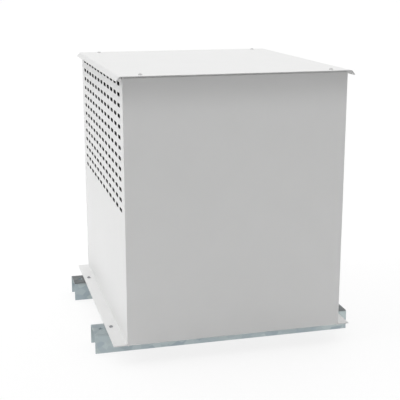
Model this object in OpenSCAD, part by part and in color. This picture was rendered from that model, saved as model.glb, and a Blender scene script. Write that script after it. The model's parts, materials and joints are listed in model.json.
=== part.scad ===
// Isolation transformer in a ventilated sheet-steel enclosure on two mounting rails.
// X runs along the rails, Y from the front panel to the rear panel, Z upward from the floor.
// The origin is on the floor, under the middle of the enclosure.

/* [Enclosure] */
// Width over the two side panels
box_w = 505; // [495:1:540]
// Depth over the front and rear panels
box_d = 618; // [608:1:660]
// Height from the lower edge of the panels to the top of the roof
box_h = 600; // [590:1:640]
// Thickness of the painted sheet steel
sheet_t = 2; // [1.5:0.1:2.5]
// Inside radius of every fold in the painted sheets
fold_r = 1.5; // [1:0.1:2.5]
// Width of the upright folds of the side panels, behind the front and rear panels
side_fold_w = 26; // [22:1:34]
// Width of the inward folds along the top of the side panels
side_top_fold_w = 20; // [14:1:26]
// Width of the inward folds along the top of the front and rear panels
cover_top_fold_w = 42; // [38:1:50]
// Width of the inward folds along the bottom of the front and rear panels
cover_low_fold_w = 18; // [12:1:24]
// Gap left between the edges of neighbouring folds
fold_gap = 1; // [0.6:0.1:2]

/* [Side flanges] */
// Width of the outward flange at the foot of each side panel
flange_w = 30; // [26:1:36]
// Distance from the front and rear faces to the ends of a flange
flange_inset = 7; // [7:0.5:12]
// Distance from the side panel to the flange screws
flange_screw_out = 17; // [13:0.5:18]

/* [Roof] */
// Flat overhang of the roof past the left side panel
roof_over_left = 6; // [5:0.5:12]
// Flat overhang of the roof past the right side panel
roof_over_right = 10; // [8:0.5:14]
// Length of the sloping side lips, along the slope
lip_len = 12.5; // [9:0.5:16]
// Slope of the side lips below the horizontal
lip_angle = 50; // [35:1:60]
// Distance of the roof screws from the left side panel
roof_screw_left = 42.5; // [34:0.5:60]
// Distance of the roof screws from the right side panel
roof_screw_right = 30; // [30:0.5:60]
// Distance of the roof screws from the front and rear faces
roof_screw_in = 24; // [18:0.5:28]

/* [Ventilation slots] */
// Number of slots along each row
slot_columns = 12; // [8:1:12]
// Number of rows
slot_rows = 13; // [6:1:13]
// Length of a slot
slot_len = 30; // [22:0.5:34]
// Height of a slot
slot_h = 8.5; // [6:0.5:10]
// Distance from the front and rear faces to the ends of the outer slots
slot_room = 36.6; // [32:0.1:44]
// Distance between the rows
slot_pitch_z = 23.15; // [18:0.05:26]
// Distance from the top of the roof to the middle of the top row
slot_top_drop = 19.8; // [15:0.1:26]

/* [Rails] */
// Distance that each rail stands out past the side panels
rail_reach = 60; // [54:1:80]
// Width of a rail
rail_w = 71; // [64:1:80]
// Height of a rail
rail_h = 47; // [42:1:60]
// Thickness of the galvanised rail steel
rail_t = 3; // [2:0.1:4]
// Inside radius of the rail bends
rail_bend_r = 2.5; // [2:0.1:4]
// Distance from the front and rear faces to the middle of the rails
rail_in = 124; // [116:1:134]
// Diameter of the mounting holes at the rail ends
rail_hole_d = 11; // [9:0.5:13]
// Distance from the rail end to the middle of a mounting hole
rail_hole_in = 19; // [15:0.5:21]

/* [Core] */
// Thickness of the lamination stack
stack_w = 90; // [80:1:94]
// Share of the enclosure's depth left free before the front coil and behind the rear coil
room_share = 0.118; // [0.11:0.001:0.13]
// Gap between neighbouring coils
coil_gap = 7.8; // [6:0.1:12]
// Share of the pitch of the limbs that a limb takes
limb_share = 0.4375; // [0.42:0.0025:0.45]
// Free height between the terminal blocks and the roof
terminal_room = 86.5; // [70:0.5:110]
// Thickness of the insulating strips between a yoke and its clamps
yoke_strip_t = 2; // [1:0.1:3]

/* [Windings] */
// Gap between a limb and its coil former
former_gap = 1.5; // [1:0.1:2]
// Wall of a coil former
former_t = 3; // [2:0.1:3.5]
// Share of a coil's windings that is its secondary winding
secondary_share = 0.46; // [0.42:0.01:0.5]
// Thickness of the earthed screen between the windings
screen_t = 2; // [1:0.1:2.5]
// Width of the cooling duct outside the screen
duct_w = 8; // [6:0.5:8.5]
// Height of the support blocks above and below each coil
coil_end_gap = 10; // [8:0.5:16]
// Gap between parts that slide into each other
fit_gap = 0.3; // [0.2:0.05:0.4]

/* [Clamping frame] */
// Thickness of the clamp channels
clamp_t = 5; // [4:0.5:6]
// Inside radius of the clamp channels
clamp_r = 4; // [3:0.5:5]
// Width of the clamp flanges
clamp_flange_w = 48; // [46:1:54]
// Height of the clamp channels past the yoke
clamp_extra = 6; // [4:0.5:10]
// Reach of the clamp channels past the end coils
clamp_over = 28.9; // [26:0.1:36]
// Distance from the end of a clamp to its tie rod
tie_rod_in = 15; // [13:0.5:16]
// Distance from the end of a clamp to its lifting eye
eye_in = 40; // [34:1:46]
// Thickness of the rubber mounting pads
pad_t = 10; // [6:0.5:14]
// Length of a mounting pad along the clamp
pad_len = 50; // [36:1:60]

/* [Fasteners] */
// Diameter of the small screws of the enclosure
small_screw_d = 5; // [4:0.5:6]
// Diameter of the bolts and rods of the clamping frame
bolt_d = 10; // [8:0.5:11]
// Extra diameter of a clearance hole
hole_gap = 0.6; // [0.4:0.1:1]
// Extra diameter of a nut's bore
thread_gap = 0.2; // [0.1:0.05:0.3]

/* [Terminals] */
// Height of the posts that carry the terminal rails
post_h = 26; // [20:1:34]
// Width across the flats of a post
post_af = 12; // [10:0.5:13]
// Distance from the ends of a terminal rail to its posts
post_in = 25; // [15:1:30]
// Length of a terminal rail
din_len = 300; // [290:1:330]
// Width of a terminal rail
din_w = 35; // [33:0.5:37]
// Depth of a terminal rail
din_h = 7.5; // [6.5:0.5:9]
// Thickness of the terminal rail strip
din_t = 1; // [0.8:0.1:1.4]
// Width of a terminal block along its rail
block_w = 28; // [22:1:32]
// Distance between neighbouring terminal blocks
block_pitch = 46; // [40:1:50]
// Height of a terminal block above its rail
block_h = 38; // [32:1:42]
// Diameter of an insulated winding lead
lead_d = 9; // [7:0.5:10]

/* [Hidden] */
$fn = 48;

// Core: three coils with two gaps between them fill the depth that the end rooms leave
coil_room = room_share * box_d;
limb_pitch = (box_d - 2 * coil_room + coil_gap) / 3;
limb_w = limb_share * limb_pitch;
limb_ys = [-limb_pitch, 0, limb_pitch];

// Distance from a limb to each face of the layers of its coil, with the two windings
// in the room that the other layers and gaps leave
primary_out = (limb_pitch - limb_w - coil_gap) / 2;
windings_t = primary_out - former_gap - former_t - screen_t - duct_w - 2 * fit_gap;
secondary_t = secondary_share * windings_t;
former_in = former_gap;
former_out = former_in + former_t;
secondary_in = former_out + fit_gap;
secondary_out = secondary_in + secondary_t;
screen_in = secondary_out + fit_gap;
screen_out = screen_in + screen_t;
primary_in = screen_out + duct_w;

// Levels, from the floor up: the windows take the height that all else leaves
rail_top = rail_h;
panel_low = rail_top + sheet_t;
roof_top = panel_low + box_h;
roof_under = roof_top - sheet_t;
foot_low = rail_top + pad_t;
clamp_h = limb_w + clamp_extra;
din_top = roof_under - terminal_room - block_h;
post_top = din_top - din_h;
frame_top = post_top - post_h;
window_high = frame_top - clamp_h;
window_low = foot_low + clamp_h;
window_h = window_high - window_low;
coil_low = window_low + coil_end_gap;
coil_high = window_high - coil_end_gap;

// Places in plan
wall_x = box_w / 2;
face_y = box_d / 2;
cover_inside_y = face_y - sheet_t;
fold_size = sheet_t + fold_r;
flange_half = face_y - flange_inset;
rail_half = wall_x + rail_reach;
rail_y = face_y - rail_in;
rail_hole_x = rail_half - rail_hole_in;
flange_screw_x = wall_x + flange_screw_out;
stud_x = wall_x - sheet_t - side_fold_w / 2;
roof_screw_y = face_y - roof_screw_in;
roof_screw_xs = [roof_screw_left - wall_x, wall_x - roof_screw_right];
slot_pitch_y = (box_d - 2 * slot_room - slot_len) / (slot_columns - 1);
coil_face_x = stack_w / 2 + primary_out;
clamp_x = stack_w / 2 + yoke_strip_t;
clamp_mid_x = clamp_x + clamp_flange_w / 2;
clamp_half = face_y - coil_room + clamp_over;
tie_rod_y = clamp_half - tie_rod_in;
eye_y = clamp_half - eye_in;
post_y = din_len / 2 - post_in;

// Heights of the studs behind the front and rear panels
stud_margin = 60;
stud_zs = [
    panel_low + stud_margin,
    (panel_low + roof_under) / 2,
    roof_under - stud_margin
];

// Hole and nut sizes
small_hole_d = small_screw_d + hole_gap;
bolt_hole_d = bolt_d + hole_gap;
small_nut_af = 1.6 * small_screw_d;
small_nut_h = 0.8 * small_screw_d;
bolt_af = 1.6 * bolt_d;
bolt_nut_h = 0.8 * bolt_d;
bolt_head_h = 0.64 * bolt_d;
small_head_d = 1.9 * small_screw_d;
small_head_h = 0.55 * small_screw_d;
thread_end = 3;
eye_ring_r = 15;
eye_wire_r = 4.5;

// Terminals: places of the blocks in steps of their pitch, the bend and the brim of the rail,
// how far a block reaches past the rail, and the depth of its lead entries
block_slots = [-1.5, -0.5, 0.5, 1.5];
din_bend_r = 0.6;
din_brim = 5;
block_grip = 6;
entry_depth = 14;

steel_grey = "LightSlateGray";
zinc = "LightSteelBlue";
paint = "WhiteSmoke";

// A sector of a flat ring, from one angle to another
module ring_sector(r_in, r_out, from, to) {
    reach = 2 * r_out;
    middle = (from + to) / 2;
    intersection() {
        difference() {
            circle(r_out);
            circle(r_in);
        }
        polygon([
            [0, 0],
            reach * [cos(from), sin(from)],
            reach * [cos(middle), sin(middle)],
            reach * [cos(to), sin(to)]
        ]);
    }
}

// Section of a folded strip that starts along +X with its thickness above the line.
// Each step is a flat run and the turn after it: a positive turn folds to the left.
module folded_section(steps, thickness, inside_r, i = 0) {
    if (i < len(steps)) {
        run = steps[i][0];
        turn = steps[i][1];
        centre_y = turn > 0 ? thickness + inside_r : -inside_r;
        square([run, thickness]);
        if (turn != 0) translate([run, centre_y]) {
            if (turn > 0) ring_sector(inside_r, inside_r + thickness, -90, turn - 90);
            else ring_sector(inside_r, inside_r + thickness, 90 + turn, 90);
            rotate(turn) translate([0, -centre_y]) folded_section(steps, thickness, inside_r, i + 1);
        }
    }
}

// Stretches a section drawn in X and Z along Y, centred
module along_y(length) {
    rotate([90, 0, 0]) linear_extrude(length, center = true) children();
}

// Stretches a section drawn in Y and Z along X, centred
module along_x(length) {
    rotate([90, 0, 90]) linear_extrude(length, center = true) children();
}

// Copies its children at both signs of X and Y
module four_corners(x, y) {
    for (sx = [-1, 1]) for (sy = [-1, 1]) translate([sx * x, sy * y, 0]) children();
}

// Rectangle with round corners, centred
module rounded_rect(x, y, r) {
    square([x - 2 * r, y], center = true);
    square([x, y - 2 * r], center = true);
    for (sx = [-1, 1]) for (sy = [-1, 1])
        translate([sx * (x / 2 - r), sy * (y / 2 - r)]) circle(r);
}

// Hexagon nut that stands on z = 0
module hex_nut(af, h, bore) {
    difference() {
        cylinder(h = h, d = af / cos(30), $fn = 6);
        translate([0, 0, -1]) cylinder(h = h + 2, d = bore);
    }
}

// Hexagon bolt with its head on z = 0 and its shank below
module hex_bolt(d, length) {
    cylinder(h = bolt_head_h, d = bolt_af / cos(30), $fn = 6);
    translate([0, 0, -length]) cylinder(h = length + 1, d = d);
}

// Button-head screw with a hexagon socket, head on z = 0 and shank below
module button_screw(length) {
    dome_r = small_head_d / 2;
    crown_r = 0.62 * dome_r;
    rim_h = small_head_h / 3;
    socket_low = 0.4 * small_head_h;
    socket_af = 0.62 * small_screw_d;
    difference() {
        union() {
            cylinder(h = rim_h, r = dome_r);
            translate([0, 0, rim_h]) cylinder(h = small_head_h - rim_h, r1 = dome_r, r2 = crown_r);
            translate([0, 0, -length]) cylinder(h = length + rim_h / 2, d = small_screw_d);
        }
        translate([0, 0, socket_low])
            cylinder(h = small_head_h, d = socket_af / cos(30), $fn = 6);
    }
}

// Base rail, an upside-down channel with its legs on the floor
module rail(y) {
    leg = rail_h - rail_t - rail_bend_r;
    top = rail_w - 2 * (rail_t + rail_bend_r);
    color(zinc) translate([0, y, 0]) difference() {
        along_x(2 * rail_half)
            translate([rail_t - rail_w / 2, 0]) rotate(90)
                folded_section([[leg, -90], [top, -90], [leg, 0]], rail_t, rail_bend_r);
        for (side = [-1, 1]) {
            translate([side * rail_hole_x, 0, rail_top - rail_t - 1])
                cylinder(h = rail_t + 2, d = rail_hole_d);
            translate([side * flange_screw_x, 0, rail_top - rail_t - 1])
                cylinder(h = rail_t + 2, d = small_hole_d);
            translate([side * clamp_mid_x, 0, rail_top - rail_t - 1])
                cylinder(h = rail_t + 2, d = bolt_hole_d);
        }
    }
}

module front_rail() { rail(-rail_y); }
module rear_rail() { rail(rail_y); }

// One ventilation slot with round ends, cut along X
module slot_cut() {
    along_x(4 * fold_size) union() {
        square([slot_len - slot_h, slot_h], center = true);
        for (side = [-1, 1]) translate([side * (slot_len - slot_h) / 2, 0]) circle(slot_h / 2);
    }
}

// Side panel of the right side: outward flange, slotted wall, top fold and two upright folds
module side_panel_right() {
    wall_run = roof_under - panel_low - fold_r - fold_size;
    top_half = face_y - cover_top_fold_w - fold_gap;
    corner_low = panel_low + fold_size + fold_gap;
    corner_high = roof_under - fold_size - fold_gap;
    corner_run = cover_inside_y - fold_size - flange_half;
    difference() {
        union() {
            // Flange and wall
            along_y(2 * flange_half) translate([wall_x + flange_w, panel_low]) rotate(180)
                folded_section([[flange_w - fold_r, -90], [wall_run, 0]], sheet_t, fold_r);
            // Top fold, short of the folds of the front and rear panels
            along_y(2 * top_half)
                translate([wall_x, panel_low + fold_r + wall_run - 1]) rotate(90)
                    folded_section([[1, 90], [side_top_fold_w - fold_size, 0]], sheet_t, fold_r);
            // Upright folds behind the front and rear panels
            for (side = [-1, 1]) scale([1, side, 1])
                translate([wall_x, flange_half - 1, corner_low])
                    linear_extrude(corner_high - corner_low) rotate(90)
                        folded_section([[corner_run + 1, 90], [side_fold_w - fold_size, 0]],
                                       sheet_t, fold_r);
        }
        for (column = [0 : slot_columns - 1]) for (row = [0 : slot_rows - 1])
            translate([
                wall_x,
                (column - (slot_columns - 1) / 2) * slot_pitch_y,
                roof_top - slot_top_drop - row * slot_pitch_z
            ]) slot_cut();
        for (side = [-1, 1]) {
            translate([flange_screw_x, side * rail_y, rail_top - 1])
                cylinder(h = sheet_t + 2, d = small_hole_d);
            for (z = stud_zs) translate([stud_x, side * cover_inside_y, z])
                rotate([90, 0, 0]) cylinder(h = 4 * sheet_t, d = small_hole_d, center = true);
        }
    }
}

module left_side_panel() { color(paint) mirror([1, 0, 0]) side_panel_right(); }
module right_side_panel() { color(paint) side_panel_right(); }

// Cover panel at the front: plain face, top and bottom folds, and welded studs on its back
module cover_panel() {
    fold_half = wall_x - sheet_t - fold_gap;
    face_run = roof_under - panel_low - 2 * fold_size;
    stud_len = 3 * sheet_t + small_nut_h;
    difference() {
        union() {
            along_x(2 * fold_half)
                translate([cover_low_fold_w - face_y, panel_low + sheet_t]) rotate(180)
                    folded_section([[cover_low_fold_w - fold_size, -90], [face_run, -90],
                                    [cover_top_fold_w - fold_size, 0]], sheet_t, fold_r);
            for (side = [-1, 1]) scale([side, 1, 1])
                translate([fold_half, -face_y, panel_low])
                    cube([wall_x - fold_half, sheet_t, roof_under - panel_low]);
            for (side = [-1, 1]) for (z = stud_zs)
                translate([side * stud_x, -cover_inside_y - sheet_t / 2, z]) rotate([-90, 0, 0])
                    cylinder(h = stud_len + sheet_t / 2, d = small_screw_d);
        }
        for (x = roof_screw_xs) translate([x, -roof_screw_y, roof_under - 2 * sheet_t])
            cylinder(h = 4 * sheet_t, d = small_hole_d);
    }
}

module front_panel() { color(paint) cover_panel(); }
module rear_panel() { color(paint) mirror([0, 1, 0]) cover_panel(); }

// Roof sheet with a sloping lip along each side
module roof_panel() {
    setback = fold_size * tan(lip_angle / 2);
    flat_start = setback - wall_x - roof_over_left;
    flat_run = box_w + roof_over_left + roof_over_right - 2 * setback;
    lip_run = lip_len - setback;
    lip_start = [
        flat_start - fold_r * sin(lip_angle) - lip_run * cos(lip_angle),
        roof_under - fold_r * (1 - cos(lip_angle)) - lip_run * sin(lip_angle)
    ];
    color(paint) difference() {
        along_y(box_d) translate(lip_start) rotate(lip_angle)
            folded_section([[lip_run, -lip_angle], [flat_run, -lip_angle], [lip_run, 0]],
                           sheet_t, fold_r);
        for (x = roof_screw_xs) for (side = [-1, 1])
            translate([x, side * roof_screw_y, roof_under - 1])
                cylinder(h = sheet_t + 2, d = small_hole_d);
    }
}

module roof_screws() {
    color(zinc) for (x = roof_screw_xs) for (side = [-1, 1])
        translate([x, side * roof_screw_y, roof_top])
            button_screw(2 * sheet_t + small_nut_h + thread_end);
}

module roof_nuts() {
    color(zinc) for (x = roof_screw_xs) for (side = [-1, 1])
        translate([x, side * roof_screw_y, roof_under - sheet_t - small_nut_h])
            hex_nut(small_nut_af, small_nut_h, small_screw_d + thread_gap);
}

module flange_screws() {
    color(zinc) four_corners(flange_screw_x, rail_y)
        translate([0, 0, panel_low]) button_screw(sheet_t + rail_t + small_nut_h + thread_end);
}

module flange_nuts() {
    color(zinc) four_corners(flange_screw_x, rail_y)
        translate([0, 0, rail_top - rail_t - small_nut_h])
            hex_nut(small_nut_af, small_nut_h, small_screw_d + thread_gap);
}

// Nuts on the studs of the front and rear panels
module panel_nuts() {
    color(zinc) for (side = [-1, 1]) for (z = stud_zs) for (end = [0, 180])
        rotate(end) translate([side * stud_x, -cover_inside_y + sheet_t, z]) rotate([-90, 0, 0])
            hex_nut(small_nut_af, small_nut_h, small_screw_d + thread_gap);
}

// Yoke: a flat stack of laminations with its bolt holes at the limbs
module yoke(low) {
    color(steel_grey) difference() {
        translate([-stack_w / 2, -limb_pitch - limb_w / 2, low])
            cube([stack_w, 2 * limb_pitch + limb_w, limb_w]);
        for (y = limb_ys) translate([0, y, low + limb_w / 2]) rotate([0, 90, 0])
            cylinder(h = stack_w + 2, d = bolt_hole_d, center = true);
    }
}

module core_lower_yoke() { yoke(window_low - limb_w); }
module core_upper_yoke() { yoke(window_high); }

module limb(y) {
    color(steel_grey) translate([-stack_w / 2, y - limb_w / 2, window_low])
        cube([stack_w, limb_w, window_h]);
}

module core_limb_front() { limb(limb_ys[0]); }
module core_limb_middle() { limb(limb_ys[1]); }
module core_limb_rear() { limb(limb_ys[2]); }

// Insulating strips between the yokes and the four clamps
module yoke_insulation() {
    color("Tan") for (low = [window_low - limb_w, window_high]) for (side = [-1, 1])
        difference() {
            translate([side * (stack_w + yoke_strip_t) / 2, 0, low + limb_w / 2])
                cube([yoke_strip_t, 2 * limb_pitch + limb_w, limb_w], center = true);
            for (y = limb_ys) translate([0, y, low + limb_w / 2]) rotate([0, 90, 0])
                cylinder(h = 2 * clamp_x + 2, d = bolt_hole_d, center = true);
        }
}

// One layer of a coil round a limb, between two distances from the limb's faces
module coil_layer(y, inner, outer, low, high) {
    translate([0, y, low]) linear_extrude(high - low) difference() {
        rounded_rect(stack_w + 2 * outer, limb_w + 2 * outer, outer);
        rounded_rect(stack_w + 2 * inner, limb_w + 2 * inner, inner);
    }
}

module coil_former(y) {
    color("Wheat") coil_layer(y, former_in, former_out, coil_low, coil_high);
}

module secondary_winding(y) {
    color("Chocolate") coil_layer(y, secondary_in, secondary_out, coil_low, coil_high);
}

module winding_screen(y) {
    color("Peru") coil_layer(y, screen_in, screen_out, coil_low, coil_high);
}

module primary_winding(y) {
    color("Goldenrod") coil_layer(y, primary_in, primary_out, coil_low, coil_high);
}

module coil_former_front() { coil_former(limb_ys[0]); }
module coil_former_middle() { coil_former(limb_ys[1]); }
module coil_former_rear() { coil_former(limb_ys[2]); }
module secondary_winding_front() { secondary_winding(limb_ys[0]); }
module secondary_winding_middle() { secondary_winding(limb_ys[1]); }
module secondary_winding_rear() { secondary_winding(limb_ys[2]); }
module winding_screen_front() { winding_screen(limb_ys[0]); }
module winding_screen_middle() { winding_screen(limb_ys[1]); }
module winding_screen_rear() { winding_screen(limb_ys[2]); }
module primary_winding_front() { primary_winding(limb_ys[0]); }
module primary_winding_middle() { primary_winding(limb_ys[1]); }
module primary_winding_rear() { primary_winding(limb_ys[2]); }

// Upright sticks that hold the cooling duct open on all four sides of each coil
module duct_spacers() {
    stick_d = duct_w - 2 * fit_gap;
    stick_w = 8;
    spread_x = stack_w / 4;
    spread_y = limb_w / 4;
    duct_mid_x = stack_w / 2 + screen_out + duct_w / 2;
    duct_mid_y = limb_w / 2 + screen_out + duct_w / 2;
    coil_h = coil_high - coil_low;
    color("BurlyWood") for (y = limb_ys) for (side = [-1, 1]) for (offset = [-1, 1]) {
        translate([side * duct_mid_x, y + offset * spread_y, coil_low + coil_h / 2])
            cube([stick_d, stick_w, coil_h], center = true);
        translate([offset * spread_x, y + side * duct_mid_y, coil_low + coil_h / 2])
            cube([stick_w, stick_d, coil_h], center = true);
    }
}

// Support blocks on the clamp flanges, one at each side of each coil
module coil_blocks(low, height) {
    block_y = 0.45 * limb_w;
    color("Tan") for (y = limb_ys) for (side = [-1, 1])
        translate([side * (clamp_x + coil_face_x) / 2, y, low + height / 2])
            cube([coil_face_x - clamp_x, block_y, height], center = true);
}

module lower_coil_blocks() { coil_blocks(window_low, coil_end_gap); }
module upper_coil_blocks() { coil_blocks(coil_high + fit_gap, coil_end_gap - fit_gap); }

// Clamp channel of the right side with its web on the yoke and its flanges outward
module clamp_channel(low) {
    flange_run = clamp_flange_w - clamp_t - clamp_r;
    web_run = clamp_h - 2 * (clamp_t + clamp_r);
    along_y(2 * clamp_half) translate([clamp_x + clamp_flange_w, low + clamp_t]) rotate(180)
        folded_section([[flange_run, -90], [web_run, -90], [flange_run, 0]], clamp_t, clamp_r);
}

// Bolt holes through the web of a clamp, at the middle of the yoke
module web_holes(yoke_low) {
    for (y = limb_ys) translate([clamp_x, y, yoke_low + limb_w / 2]) rotate([0, 90, 0])
        cylinder(h = 4 * clamp_t, d = bolt_hole_d, center = true);
}

module lower_clamp() {
    color(steel_grey) difference() {
        clamp_channel(foot_low);
        web_holes(window_low - limb_w);
        for (side = [-1, 1]) {
            translate([clamp_mid_x, side * rail_y, foot_low - 1])
                cylinder(h = clamp_t + 2, d = bolt_hole_d);
            translate([clamp_mid_x, side * tie_rod_y, window_low - clamp_t - 1])
                cylinder(h = clamp_t + 2, d = bolt_hole_d);
        }
    }
}

module upper_clamp() {
    color(steel_grey) difference() {
        clamp_channel(window_high);
        web_holes(window_high);
        for (side = [-1, 1]) {
            translate([clamp_mid_x, side * tie_rod_y, window_high - 1])
                cylinder(h = clamp_t + 2, d = bolt_hole_d);
            translate([clamp_mid_x, side * post_y, frame_top - clamp_t - 1])
                cylinder(h = clamp_t + 2, d = small_hole_d);
            translate([clamp_mid_x, side * eye_y, frame_top - clamp_t - 1])
                cylinder(h = clamp_t + 2, d = bolt_hole_d);
        }
    }
}

module lower_clamp_left() { mirror([1, 0, 0]) lower_clamp(); }
module lower_clamp_right() { lower_clamp(); }
module upper_clamp_left() { mirror([1, 0, 0]) upper_clamp(); }
module upper_clamp_right() { upper_clamp(); }

// Bolts that squeeze the yokes between their clamps, along X
module yoke_bolts() {
    web_out = clamp_x + clamp_t;
    color(zinc) for (low = [window_low - limb_w, window_high]) for (y = limb_ys)
        translate([web_out, y, low + limb_w / 2]) rotate([0, 90, 0])
            hex_bolt(bolt_d, 2 * web_out + bolt_nut_h + thread_end);
}

module yoke_nuts() {
    web_out = clamp_x + clamp_t;
    color(zinc) for (low = [window_low - limb_w, window_high]) for (y = limb_ys)
        translate([-web_out - bolt_nut_h, y, low + limb_w / 2]) rotate([0, 90, 0])
            hex_nut(bolt_af, bolt_nut_h, bolt_d + thread_gap);
}

// Tie rods that pull the upper clamps down on the coils
module tie_rods() {
    over = clamp_t + bolt_nut_h + thread_end;
    color(zinc) four_corners(clamp_mid_x, tie_rod_y)
        translate([0, 0, window_low - over]) cylinder(h = window_h + 2 * over, d = bolt_d);
}

module tie_rod_nuts() {
    color(zinc) four_corners(clamp_mid_x, tie_rod_y)
        for (z = [window_low - clamp_t - bolt_nut_h, window_high + clamp_t])
            translate([0, 0, z]) hex_nut(bolt_af, bolt_nut_h, bolt_d + thread_gap);
}

// Rubber pads between the clamp feet and the rails
module mounting_pads() {
    color("DimGray") four_corners(clamp_mid_x, rail_y) difference() {
        translate([0, 0, rail_top + pad_t / 2])
            cube([clamp_flange_w, pad_len, pad_t], center = true);
        translate([0, 0, rail_top - 1]) cylinder(h = pad_t + 2, d = bolt_hole_d);
    }
}

module foot_bolts() {
    color(zinc) four_corners(clamp_mid_x, rail_y)
        translate([0, 0, foot_low + clamp_t])
            hex_bolt(bolt_d, clamp_t + pad_t + rail_t + bolt_nut_h + thread_end);
}

module foot_nuts() {
    color(zinc) four_corners(clamp_mid_x, rail_y)
        translate([0, 0, rail_top - rail_t - bolt_nut_h])
            hex_nut(bolt_af, bolt_nut_h, bolt_d + thread_gap);
}

// Lifting eye bolts in the top flanges of the upper clamps, with the ring sunk in its collar
module lifting_eyes() {
    collar_h = 6;
    collar_r = 1.1 * bolt_d;
    neck_r = 0.9 * bolt_d;
    ring_sink = 2;
    color(zinc) four_corners(clamp_mid_x, eye_y) translate([0, 0, frame_top]) {
        translate([0, 0, collar_h + eye_ring_r + eye_wire_r - ring_sink]) rotate([90, 0, 0])
            rotate_extrude() translate([eye_ring_r, 0]) circle(eye_wire_r);
        cylinder(h = collar_h, r1 = collar_r, r2 = neck_r);
        translate([0, 0, -clamp_t - thread_end]) cylinder(h = clamp_t + thread_end + 1, d = bolt_d);
    }
}

// Posts between the upper clamps and the terminal rails, with a thread below and a bore above
module terminal_posts() {
    color(zinc) four_corners(clamp_mid_x, post_y) translate([0, 0, frame_top]) {
        difference() {
            cylinder(h = post_h, d = post_af / cos(30), $fn = 6);
            translate([0, 0, post_h / 2])
                cylinder(h = post_h, d = small_screw_d + thread_gap);
        }
        translate([0, 0, -clamp_t - thread_end]) cylinder(h = clamp_t + thread_end + 1, d = small_screw_d);
    }
}

// Top-hat rail on its posts, open side down
module terminal_rail(side) {
    brim_run = din_brim - din_t - din_bend_r;
    rise = din_h - 2 * din_t - 2 * din_bend_r;
    crown = din_w - 2 * din_brim - 2 * din_bend_r;
    color(zinc) difference() {
        translate([side * clamp_mid_x, 0, 0]) along_y(din_len)
            translate([-din_w / 2, post_top])
                folded_section([[brim_run, 90], [rise, -90], [crown, -90], [rise, 90], [brim_run, 0]],
                               din_t, din_bend_r);
        for (end = [-1, 1]) translate([side * clamp_mid_x, end * post_y, post_top - 1])
            cylinder(h = din_h + 2, d = small_hole_d);
    }
}

module primary_terminal_rail() { terminal_rail(-1); }
module secondary_terminal_rail() { terminal_rail(1); }

module terminal_rail_screws() {
    color(zinc) four_corners(clamp_mid_x, post_y)
        translate([0, 0, din_top]) button_screw(din_h + post_h / 4);
}

// Terminal block that clips over the edges of its rail, with lead entries and screw wells
module terminal_block() {
    body_x = din_w + 2 * block_grip;
    body_top = din_top + block_h;
    hook_h = 2;
    hook_in = 3;
    hook_low = post_top - hook_h;
    entry_d = lead_d + 2 * fit_gap;
    entry_z = din_top + block_h / 2;
    well_d = 0.36 * block_w;
    well_floor = 3;
    shoulder = 10;
    difference() {
        translate([-body_x / 2, -block_w / 2, hook_low])
            cube([body_x, block_w, body_top - hook_low]);
        // Room for the rail, with its brim gripped from below
        translate([-din_w / 2 - fit_gap, -block_w / 2 - 1, post_top - fit_gap])
            cube([din_w + 2 * fit_gap, block_w + 2, din_h + 2 * fit_gap]);
        translate([hook_in - din_w / 2, -block_w / 2 - 1, hook_low - 1])
            cube([din_w - 2 * hook_in, block_w + 2, hook_h + 2]);
        // Lead entry on the outer face and outgoing entry on the inner face
        for (end = [-1, 1]) translate([end * body_x / 2, 0, entry_z]) rotate([0, 90, 0])
            cylinder(h = 2 * entry_depth, d = entry_d, center = true);
        // Screw wells in the top
        for (end = [-1, 1]) translate([end * body_x / 4, 0, entry_z + entry_d / 2 + well_floor])
            cylinder(h = block_h, d = well_d);
        // Sloping shoulders
        for (end = [-1, 1]) translate([end * body_x / 2, 0, body_top]) rotate([0, 45, 0])
            cube([shoulder, block_w + 2, shoulder], center = true);
    }
}

module terminal_row(side) {
    for (place = block_slots) translate([side * clamp_mid_x, place * block_pitch, 0]) terminal_block();
}

module primary_terminals() { color("DarkSlateGray") terminal_row(-1); }
module secondary_terminals() { color("Gray") terminal_row(1); }

// Quarter bend of a lead, from +X to +Z, that starts at the origin
module lead_bend(r) {
    translate([0, 0, r]) rotate([90, 0, 0]) rotate([0, 0, -90])
        rotate_extrude(angle = 90) translate([r, 0]) circle(lead_d / 2);
}

// Insulated leads that rise outside the clamps from the coils to the terminal blocks
module winding_leads(side) {
    bend_r = 1.2 * lead_d;
    exit_drop = 30;
    end_gap = 4;
    start_x = coil_face_x + fit_gap;
    riser_x = clamp_x + clamp_flange_w + lead_d;
    start_z = coil_high - exit_drop;
    end_z = din_top + block_h / 2;
    end_x = clamp_mid_x + din_w / 2 + block_grip - entry_depth + end_gap;
    for (i = [0 : 2]) {
        y = block_slots[i] * block_pitch;
        translate([0, y, 0]) scale([side, 1, 1]) {
            translate([start_x, 0, start_z]) rotate([0, 90, 0])
                cylinder(h = riser_x - bend_r - start_x, d = lead_d);
            translate([riser_x - bend_r, 0, start_z]) lead_bend(bend_r);
            translate([riser_x, 0, start_z + bend_r])
                cylinder(h = end_z - start_z - 2 * bend_r, d = lead_d);
            translate([riser_x - bend_r, 0, end_z]) mirror([0, 0, 1]) lead_bend(bend_r);
            translate([end_x, 0, end_z]) rotate([0, 90, 0])
                cylinder(h = riser_x - bend_r - end_x, d = lead_d);
        }
    }
}

module primary_leads() { color("Black") winding_leads(-1); }
module secondary_leads() { color("SaddleBrown") winding_leads(1); }

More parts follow.
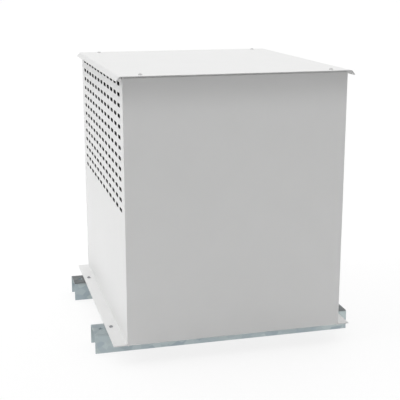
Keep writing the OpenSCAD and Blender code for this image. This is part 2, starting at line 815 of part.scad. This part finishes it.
front_rail();
rear_rail();
left_side_panel();
right_side_panel();
front_panel();
rear_panel();
roof_panel();
roof_screws();
roof_nuts();
flange_screws();
flange_nuts();
panel_nuts();
core_lower_yoke();
core_upper_yoke();
core_limb_front();
core_limb_middle();
core_limb_rear();
yoke_insulation();
coil_former_front();
coil_former_middle();
coil_former_rear();
secondary_winding_front();
secondary_winding_middle();
secondary_winding_rear();
winding_screen_front();
winding_screen_middle();
winding_screen_rear();
duct_spacers();
primary_winding_front();
primary_winding_middle();
primary_winding_rear();
lower_coil_blocks();
upper_coil_blocks();
lower_clamp_left();
lower_clamp_right();
upper_clamp_left();
upper_clamp_right();
yoke_bolts();
yoke_nuts();
tie_rods();
tie_rod_nuts();
mounting_pads();
foot_bolts();
foot_nuts();
terminal_posts();
primary_terminal_rail();
secondary_terminal_rail();
terminal_rail_screws();
primary_terminals();
secondary_terminals();
primary_leads();
secondary_leads();
lifting_eyes();
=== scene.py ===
"""Looks of the isolation transformer: powder-coated sheets, zinc rails, core, coils and terminals.

Everything is in metres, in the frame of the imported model: +X along the rails, +Y to the rear, +Z up.
"""

import json
import math

import bpy
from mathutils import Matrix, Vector


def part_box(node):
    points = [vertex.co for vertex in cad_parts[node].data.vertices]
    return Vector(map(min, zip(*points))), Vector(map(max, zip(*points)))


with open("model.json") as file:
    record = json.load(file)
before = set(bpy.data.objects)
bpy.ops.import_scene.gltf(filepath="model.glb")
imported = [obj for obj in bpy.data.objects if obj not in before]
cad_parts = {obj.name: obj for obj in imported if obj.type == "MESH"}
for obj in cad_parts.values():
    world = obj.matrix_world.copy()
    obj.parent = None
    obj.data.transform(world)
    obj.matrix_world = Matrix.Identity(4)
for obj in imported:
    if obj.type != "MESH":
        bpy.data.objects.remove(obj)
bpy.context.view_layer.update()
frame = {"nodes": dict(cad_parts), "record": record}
nodes = frame["nodes"]

# Enclosure, from its panels: half width, half depth, lower edge and top
WALL_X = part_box("front_panel")[1][0]
FACE_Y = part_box("rear_panel")[1][1]
PANEL_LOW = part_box("front_panel")[0][2]
ROOF_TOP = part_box("roof_panel")[1][2]
# Thickness of the painted sheets
SHEET = 0.002
# Slack for places that lie exactly on a sheet's surface
HAIR = 0.0001
# Cut edges count as slots only this far inside the side panels' corners and under the roof
CORNER_MARGIN = 0.03
TOP_MARGIN = 0.01
# Anything wider than the object, for a mask that is open on one side
FAR = 1.0
# A surface faces an axis where its normal's part along that axis lies from FACING to FULLY
FACING = 0.7
FULLY = 1.1
# Half width of the soft edge between plain zinc and the painted shade on the rails' upper sides
SHADE_EDGE = 0.1

# Camera, as fitted to the photograph
CAMERA_PLACE = Vector((-0.5813, -2.1818, 0.8575))
CAMERA_TILT = math.radians(76.014)
CAMERA_YAW = math.radians(-14.824)
CAMERA_LENS = 82.02
SENSOR_WIDTH = 36.0
CLIP_NEAR = 0.05
CLIP_FAR = 200.0

# Floor: the light pool round the object (from and to these distances, from and to these tones),
# and how much of its white a shadow takes away to the camera
FLOOR_POOL = (0.6, 1.8, 0.9, 0.65)
SHADOW_DEPTH = 0.15
FLOOR_LIFT = 0.86
FLOOR_HALF = 60.0

# Light: a very weak even sky, a low soft light from the left, a broad high one from the rear,
# and two near boxes with grids that lift the front panel and the left wall alone
SKY_LEVEL = 0.02
SIDE_STRENGTH = 0.66
SIDE_TURN = (0.0, math.radians(-57.0), 0.0)
SIDE_SOFTNESS = math.radians(40.0)
TOP_STRENGTH = 3.12
TOP_TURN = (math.radians(-30.0), 0.0, 0.0)
TOP_SOFTNESS = math.radians(120.0)
# Boxes with grids: power, spread of the beam, distance from the wall, size and height of the middle
FRONT_GRID = 0.41
LEFT_GRID = 0.21
GRID_SPREAD = math.radians(12.0)
GRID_AWAY = 0.6
GRID_WIDTH = 1.4
FRONT_GRID_HEIGHT = 0.62
FRONT_GRID_MIDDLE = 0.295
LEFT_GRID_HEIGHT = 0.50
LEFT_GRID_MIDDLE = 0.34
QUARTER_TURN = math.radians(90.0)


def socket(sockets, name, kind):
    """The socket of that name and kind, since a Mix node has one set for each kind."""
    return next(found for found in sockets if found.name == name and found.type == kind)


class Shader:
    """A node material with one Principled shader, built up step by step."""

    def __init__(self, name, roughness=0.5, metallic=0.0):
        self.material = bpy.data.materials.new(name)
        self.material.use_nodes = True
        self.tree = self.material.node_tree
        self.surface = self.tree.nodes["Principled BSDF"]
        self.surface.inputs["Roughness"].default_value = roughness
        self.surface.inputs["Metallic"].default_value = metallic
        self.place = self.node("ShaderNodeTexCoord").outputs["Object"]

    def node(self, kind, **settings):
        """A new node with its settings and input values."""
        made = self.tree.nodes.new(kind)
        for name, value in settings.items():
            if name in made.inputs:
                made.inputs[name].default_value = value
            else:
                setattr(made, name, value)
        return made

    def link(self, output, target):
        """Joins an output to the input that takes it."""
        self.tree.links.new(output, target)

    def stretched(self, x, y, z):
        """The object's place with each axis scaled."""
        mapping = self.node("ShaderNodeMapping", Scale=(x, y, z))
        self.link(self.place, mapping.inputs["Vector"])
        return mapping.outputs["Vector"]

    def noise(self, scale, detail=3.0, roughness=0.5, place=None):
        """Soft noise from 0 to 1 with features about 1/scale metres across."""
        made = self.node("ShaderNodeTexNoise", Scale=scale, Detail=detail, Roughness=roughness)
        self.link(place or self.place, made.inputs["Vector"])
        return made.outputs["Fac"]

    def cells(self, scale, place=None, output="Color"):
        """Voronoi cells about 1/scale metres across."""
        made = self.node("ShaderNodeTexVoronoi", Scale=scale)
        self.link(place or self.place, made.inputs["Vector"])
        return made.outputs[output]

    def bands(self, scale, axis, distortion):
        """Sine bands along one axis, scale / 2 of them to a metre."""
        made = self.node("ShaderNodeTexWave", Scale=scale, Distortion=distortion)
        made.bands_direction = axis
        self.link(self.place, made.inputs["Vector"])
        return made.outputs["Fac"]

    def spread(self, value, low, high, from_low=0.0, from_high=1.0):
        """Maps a value from one range to another."""
        made = self.node("ShaderNodeMapRange")
        limits = {"From Min": from_low, "From Max": from_high, "To Min": low, "To Max": high}
        for name, limit in limits.items():
            made.inputs[name].default_value = limit
        self.link(value, made.inputs["Value"])
        return made.outputs["Result"]

    def math(self, operation, *values):
        """A Math node on outputs or plain numbers."""
        made = self.node("ShaderNodeMath", operation=operation)
        for target, value in zip(made.inputs, values):
            if isinstance(value, (int, float)):
                target.default_value = value
            else:
                self.link(value, target)
        return made.outputs["Value"]

    def axes(self, vector):
        """The X, Y and Z of a vector, by name."""
        made = self.node("ShaderNodeSeparateXYZ")
        self.link(vector, made.inputs["Vector"])
        return made.outputs

    def facing(self):
        """The direction that the surface faces, by axis."""
        return self.axes(self.node("ShaderNodeNewGeometry").outputs["Normal"])

    def within(self, value, low, high):
        """1 where the value lies from low to high, 0 elsewhere."""
        return self.math("COMPARE", value, (low + high) / 2, (high - low) / 2)

    def between(self, value, first, second):
        """A colour from first, where value is 0, to second, where it is 1."""
        made = self.node("ShaderNodeMix", data_type="RGBA")
        self.link(value, made.inputs["Factor"])
        for name, colour in (("A", first), ("B", second)):
            target = socket(made.inputs, name, "RGBA")
            if isinstance(colour, tuple):
                target.default_value = (*colour, 1.0)
            else:
                self.link(colour, target)
        return socket(made.outputs, "Result", "RGBA")

    def colour(self, output):
        """Takes the base colour from an output."""
        self.link(output, self.surface.inputs["Base Color"])

    def rough(self, output):
        """Takes the roughness from an output."""
        self.link(output, self.surface.inputs["Roughness"])

    def bump(self, height, depth, strength):
        """Adds relief of that depth in metres on top of what is there."""
        made = self.node("ShaderNodeBump", Distance=depth, Strength=strength)
        self.link(height, made.inputs["Height"])
        before = self.surface.inputs["Normal"].links
        if before:
            self.link(before[0].from_socket, made.inputs["Normal"])
        self.link(made.outputs["Normal"], self.surface.inputs["Normal"])


def powder_coat():
    """Light-grey powder coat: satin, with fine orange peel and faint unevenness of tone.

    Inside the enclosure and on the cut edges of the slots it is painted near black with blotches,
    as painted shade that darkens the slots and the inside.
    """
    s = Shader("powder_coat", roughness=0.5)
    s.surface.inputs["IOR"].default_value = 1.45
    where = s.axes(s.place)
    across = s.math("ABSOLUTE", where["X"])
    along = s.math("ABSOLUTE", where["Y"])
    up = where["Z"]
    sideways = s.math("ABSOLUTE", s.facing()["X"])

    inner_x = WALL_X - SHEET + HAIR
    # Masks for the painted shade: the inside of the enclosure, and the cut edges of the slots
    inside = s.math("MULTIPLY", s.within(across, -FAR, inner_x),
                    s.within(along, -FAR, FACE_Y - SHEET + HAIR))
    inside = s.math("MULTIPLY", inside, s.within(up, PANEL_LOW + HAIR, ROOF_TOP - SHEET + HAIR))
    cut = s.math("MULTIPLY", s.within(across, inner_x, WALL_X - HAIR), s.within(sideways, -FULLY, FACING))
    cut = s.math("MULTIPLY", cut, s.within(along, -FAR, FACE_Y - CORNER_MARGIN))
    cut = s.math("MULTIPLY", cut, s.within(up, PANEL_LOW + CORNER_MARGIN, ROOF_TOP - TOP_MARGIN))

    coat = s.between(s.noise(14.0, detail=2.0), (0.815, 0.817, 0.812), (0.840, 0.840, 0.837))
    # Painted shade: near-black tone for the inside of the enclosure and the slots' cut edges
    painted_shade_tone = s.between(s.noise(30.0, detail=4.0), (0.05, 0.05, 0.053), (0.11, 0.11, 0.113))
    s.colour(s.between(s.math("MAXIMUM", inside, cut), coat, painted_shade_tone))
    s.rough(s.spread(s.noise(160.0), 0.44, 0.56))
    s.bump(s.noise(620.0, detail=2.0), 0.00012, 0.35)
    s.bump(s.noise(2600.0, detail=1.0), 0.00004, 0.3)
    return s.material


def galvanised():
    """Zinc-dipped steel: soft spangle, rolled streaks along the rail and a blue cast.

    Its upper sides are painted a darker grey at the rear and on the right: painted shade.
    """
    s = Shader("galvanised", roughness=0.42, metallic=1.0)
    spangle = s.cells(70.0, place=s.stretched(0.7, 1.0, 1.0))
    shade = s.node("ShaderNodeSeparateColor")
    s.link(spangle, shade.inputs["Color"])
    flake = s.between(shade.outputs["Red"], (0.31, 0.38, 0.42), (0.47, 0.54, 0.54))
    streak = s.noise(40.0, detail=4.0, place=s.stretched(0.08, 3.0, 3.0))
    plain_zinc = s.between(s.spread(streak, 0.0, 0.5), flake, (0.50, 0.54, 0.56))
    # Painted shade: a darker grey for the rails' upper sides at the rear and on the right
    painted_shade_zinc = s.between(streak, (0.15, 0.165, 0.17), (0.25, 0.265, 0.27))
    where = s.axes(s.place)
    # Where the painted shade lies: upward faces in the right half or the rear half
    shaded_top = s.math("MAXIMUM", s.spread(where["X"], 0.0, 1.0, -SHADE_EDGE, SHADE_EDGE),
                       s.spread(where["Y"], 0.0, 1.0, -SHADE_EDGE, SHADE_EDGE))
    shaded_top = s.math("MULTIPLY", shaded_top, s.within(s.facing()["Z"], FACING, FULLY))
    s.colour(s.between(shaded_top, plain_zinc, painted_shade_zinc))
    s.rough(s.spread(shade.outputs["Green"], 0.34, 0.52))
    s.bump(s.noise(300.0), 0.0001, 0.25)
    return s.material


def zinc_plate(name, dark, light):
    """Dull zinc plate, from a dark tone to a light one."""
    s = Shader(name, roughness=0.5, metallic=1.0)
    tone = s.noise(220.0, detail=3.0)
    s.colour(s.between(tone, dark, light))
    s.rough(s.spread(s.noise(700.0), 0.42, 0.60))
    s.bump(s.noise(1500.0), 0.00003, 0.3)
    return s.material


def laminations():
    """Stacked core sheets on edge: fine dark lines across X under varnish."""
    s = Shader("laminations", roughness=0.45, metallic=0.35)
    fine = s.bands(600.0, "X", distortion=0.4)
    packs = s.noise(60.0, detail=3.0, place=s.stretched(14.0, 0.25, 0.25))
    dark = s.between(packs, (0.055, 0.058, 0.064), (0.16, 0.165, 0.17))
    s.colour(s.between(s.spread(fine, 0.0, 0.5), dark, (0.24, 0.235, 0.22)))
    s.rough(s.spread(packs, 0.36, 0.6))
    s.bump(fine, 0.00025, 0.6)
    s.bump(packs, 0.0004, 0.4)
    return s.material


def winding():
    """Varnished coil: turns of wire as ridges, with amber varnish that is darker in the grooves."""
    s = Shader("varnished_winding", roughness=0.32)
    turns = s.bands(95.0, "Z", distortion=0.25)
    varnish = s.noise(35.0, detail=4.0)
    amber = s.between(varnish, (0.26, 0.075, 0.018), (0.46, 0.17, 0.045))
    s.colour(s.between(s.spread(turns, 0.0, 1.0, 0.05, 0.6), (0.10, 0.03, 0.012), amber))
    s.rough(s.spread(varnish, 0.24, 0.45))
    s.bump(turns, 0.0012, 0.9)
    s.bump(s.noise(500.0), 0.0001, 0.3)
    s.surface.inputs["Coat Weight"].default_value = 0.35
    s.surface.inputs["Coat Roughness"].default_value = 0.2
    return s.material


def copper_foil():
    """Copper foil of the earthed screens, slightly tarnished."""
    s = Shader("copper_foil", roughness=0.3, metallic=1.0)
    tarnish = s.noise(28.0, detail=5.0, roughness=0.6)
    s.colour(s.between(tarnish, (0.60, 0.26, 0.13), (0.86, 0.47, 0.30)))
    s.rough(s.spread(s.noise(90.0), 0.22, 0.42))
    s.bump(s.noise(60.0, place=s.stretched(1.0, 1.0, 0.2)), 0.0005, 0.3)
    return s.material


def pressboard():
    """Pressboard: matte, fibrous and slightly mottled."""
    s = Shader("pressboard", roughness=0.78)
    fibre = s.noise(900.0, detail=5.0, roughness=0.65, place=s.stretched(1.0, 1.0, 0.35))
    mottle = s.noise(50.0, detail=3.0)
    base = s.between(mottle, (0.40, 0.26, 0.12), (0.52, 0.36, 0.19))
    s.colour(s.between(s.spread(fibre, 0.0, 0.55), base, (0.62, 0.47, 0.29)))
    s.bump(fibre, 0.0002, 0.5)
    return s.material


def clamp_paint():
    """Dark grey stoving paint of the clamping frame."""
    s = Shader("clamp_paint", roughness=0.4)
    tone = s.noise(25.0, detail=3.0)
    s.colour(s.between(tone, (0.050, 0.054, 0.060), (0.078, 0.082, 0.090)))
    s.rough(s.spread(s.noise(200.0), 0.34, 0.5))
    s.bump(s.noise(700.0), 0.0001, 0.35)
    return s.material


def pad_rubber():
    """Black rubber with a faint moulded grain."""
    s = Shader("pad_rubber", roughness=0.75)
    s.colour(s.between(s.noise(80.0), (0.018, 0.018, 0.019), (0.04, 0.04, 0.041)))
    s.bump(s.cells(1600.0, output="Distance"), 0.0001, 0.4)
    return s.material


def thermoset():
    """Moulded grey thermoset of the terminal blocks."""
    s = Shader("thermoset", roughness=0.5)
    speck = s.noise(1200.0, detail=2.0)
    s.colour(s.between(speck, (0.17, 0.18, 0.19), (0.23, 0.24, 0.25)))
    s.rough(s.spread(s.noise(300.0), 0.42, 0.58))
    s.bump(s.noise(1800.0), 0.00005, 0.5)
    return s.material


def silicone_lead():
    """Black silicone insulation with a faint braid."""
    s = Shader("silicone_lead", roughness=0.55)
    braid = s.cells(900.0, place=s.stretched(1.0, 1.0, 0.5), output="Distance")
    s.colour(s.between(braid, (0.035, 0.035, 0.037), (0.012, 0.012, 0.013)))
    s.bump(braid, 0.0003, 0.5)
    return s.material


# Finish of each of the record's material slots
finishes = {
    "grey_paint": powder_coat(),
    "galvanised_rail": galvanised(),
    "zinc_fasteners": zinc_plate("zinc_plate", (0.33, 0.34, 0.36), (0.47, 0.48, 0.49)),
    "core_steel": laminations(),
    "clamp_steel": clamp_paint(),
    "varnished_winding": winding(),
    "copper_screen": copper_foil(),
    "pressboard": pressboard(),
    "pad_rubber": pad_rubber(),
    "terminal_plastic": thermoset(),
    "lead_insulation": silicone_lead(),
}
slot_of = {part["node"]: part["material_slot"] for part in frame["record"]["subparts"]}
finish_of = {name: finishes[slot_of[name]] for name in nodes}
# The roof screws are paler than the other fasteners
finish_of["roof_screws"] = zinc_plate("pale_zinc", (0.66, 0.66, 0.66), (0.78, 0.78, 0.78))
for name, piece in nodes.items():
    piece.data.materials.clear()
    piece.data.materials.append(finish_of[name])


def seen_directly(tree):
    """1 for rays from the camera, from a reflection or through glass, 0 for light that spreads."""
    rays = tree.nodes.new("ShaderNodeLightPath")
    first = tree.nodes.new("ShaderNodeMath")
    first.operation = "MAXIMUM"
    tree.links.new(rays.outputs["Is Camera Ray"], first.inputs[0])
    tree.links.new(rays.outputs["Is Glossy Ray"], first.inputs[1])
    either = tree.nodes.new("ShaderNodeMath")
    either.operation = "MAXIMUM"
    tree.links.new(first.outputs[0], either.inputs[0])
    tree.links.new(rays.outputs["Is Transmission Ray"], either.inputs[1])
    return either.outputs[0]


def floor_material():
    """Pale floor: white where it is seen in full light, with the object's shadow faintly on it."""
    material = bpy.data.materials.new("floor")
    material.use_nodes = True
    tree = material.node_tree
    surface = tree.nodes["Principled BSDF"]
    surface.inputs["Roughness"].default_value = 0.9
    surface.inputs["Specular IOR Level"].default_value = 0.0
    surface.inputs["Emission Color"].default_value = (1.0, 1.0, 1.0, 1.0)
    seen = seen_directly(tree)
    distance = tree.nodes.new("ShaderNodeVectorMath")
    distance.operation = "LENGTH"
    tree.links.new(tree.nodes.new("ShaderNodeNewGeometry").outputs["Position"], distance.inputs[0])
    pool = tree.nodes.new("ShaderNodeMapRange")
    tree.links.new(distance.outputs["Value"], pool.inputs["Value"])
    for name, value in zip(("From Min", "From Max", "To Min", "To Max"), FLOOR_POOL):
        pool.inputs[name].default_value = value
    tone = tree.nodes.new("ShaderNodeMix")
    tree.links.new(seen, tone.inputs["Factor"])
    tree.links.new(pool.outputs["Result"], socket(tone.inputs, "A", "VALUE"))
    socket(tone.inputs, "B", "VALUE").default_value = SHADOW_DEPTH
    tree.links.new(socket(tone.outputs, "Result", "VALUE"), surface.inputs["Base Color"])
    lift = tree.nodes.new("ShaderNodeMath")
    lift.operation = "MULTIPLY"
    lift.inputs[1].default_value = FLOOR_LIFT
    tree.links.new(seen, lift.inputs[0])
    tree.links.new(lift.outputs[0], surface.inputs["Emission Strength"])
    return material


floor_mesh = bpy.data.meshes.new("floor")
floor_mesh.from_pydata(
    [(x * FLOOR_HALF, y * FLOOR_HALF, 0.0) for x, y in ((-1, -1), (1, -1), (1, 1), (-1, 1))],
    [],
    [(0, 1, 2, 3)],
)
floor = bpy.data.objects.new("floor", floor_mesh)
floor_mesh.materials.append(floor_material())
bpy.context.scene.collection.objects.link(floor)

# World: white to the camera, to reflections and through glass, a weak even light for all else
world = bpy.data.worlds.new("studio")
bpy.context.scene.world = world
world.use_nodes = True
sky = world.node_tree
background = sky.nodes["Background"]
background.inputs["Strength"].default_value = SKY_LEVEL
background.inputs["Color"].default_value = (1.0, 1.0, 1.0, 1.0)
white = sky.nodes.new("ShaderNodeBackground")
white.inputs["Strength"].default_value = 1.0
choice = sky.nodes.new("ShaderNodeMixShader")
sky.links.new(seen_directly(sky), choice.inputs[0])
sky.links.new(background.outputs[0], choice.inputs[1])
sky.links.new(white.outputs[0], choice.inputs[2])
sky.links.new(choice.outputs[0], sky.nodes["World Output"].inputs["Surface"])


def soft_box(name, strength, turn, softness):
    """A far soft light, straight overhead before its turn, that reflections don't show."""
    data = bpy.data.lights.new(name, "SUN")
    data.energy = strength
    data.angle = softness
    lamp = bpy.data.objects.new(name, data)
    lamp.rotation_euler = turn
    lamp.visible_glossy = False
    bpy.context.scene.collection.objects.link(lamp)


def gridded_box(name, power, place, turn, size):
    """A near soft box with a grid, which lights only what is straight in front of it."""
    data = bpy.data.lights.new(name, "AREA")
    data.energy = power
    data.shape = "RECTANGLE"
    data.size, data.size_y = size
    data.spread = GRID_SPREAD
    lamp = bpy.data.objects.new(name, data)
    lamp.location = place
    lamp.rotation_euler = turn
    lamp.visible_camera = False
    lamp.visible_glossy = False
    lamp.visible_transmission = False
    bpy.context.scene.collection.objects.link(lamp)


soft_box("side_light", SIDE_STRENGTH, SIDE_TURN, SIDE_SOFTNESS)
soft_box("top_light", TOP_STRENGTH, TOP_TURN, TOP_SOFTNESS)
gridded_box("front_grid", FRONT_GRID, (0.0, -FACE_Y - GRID_AWAY, FRONT_GRID_MIDDLE),
            (QUARTER_TURN, 0.0, 0.0), (GRID_WIDTH, FRONT_GRID_HEIGHT))
gridded_box("left_grid", LEFT_GRID, (-WALL_X - GRID_AWAY, 0.0, LEFT_GRID_MIDDLE),
            (QUARTER_TURN, 0.0, -QUARTER_TURN), (GRID_WIDTH, LEFT_GRID_HEIGHT))

# Camera at the photograph's viewpoint
camera_data = bpy.data.cameras.new("camera")
camera_data.lens = CAMERA_LENS
camera_data.sensor_width = SENSOR_WIDTH
camera_data.clip_start = CLIP_NEAR
camera_data.clip_end = CLIP_FAR
camera = bpy.data.objects.new("camera", camera_data)
camera.location = CAMERA_PLACE
camera.rotation_euler = (CAMERA_TILT, 0.0, CAMERA_YAW)
bpy.context.scene.collection.objects.link(camera)
bpy.context.scene.camera = camera

bpy.context.scene.view_settings.view_transform = "Standard"
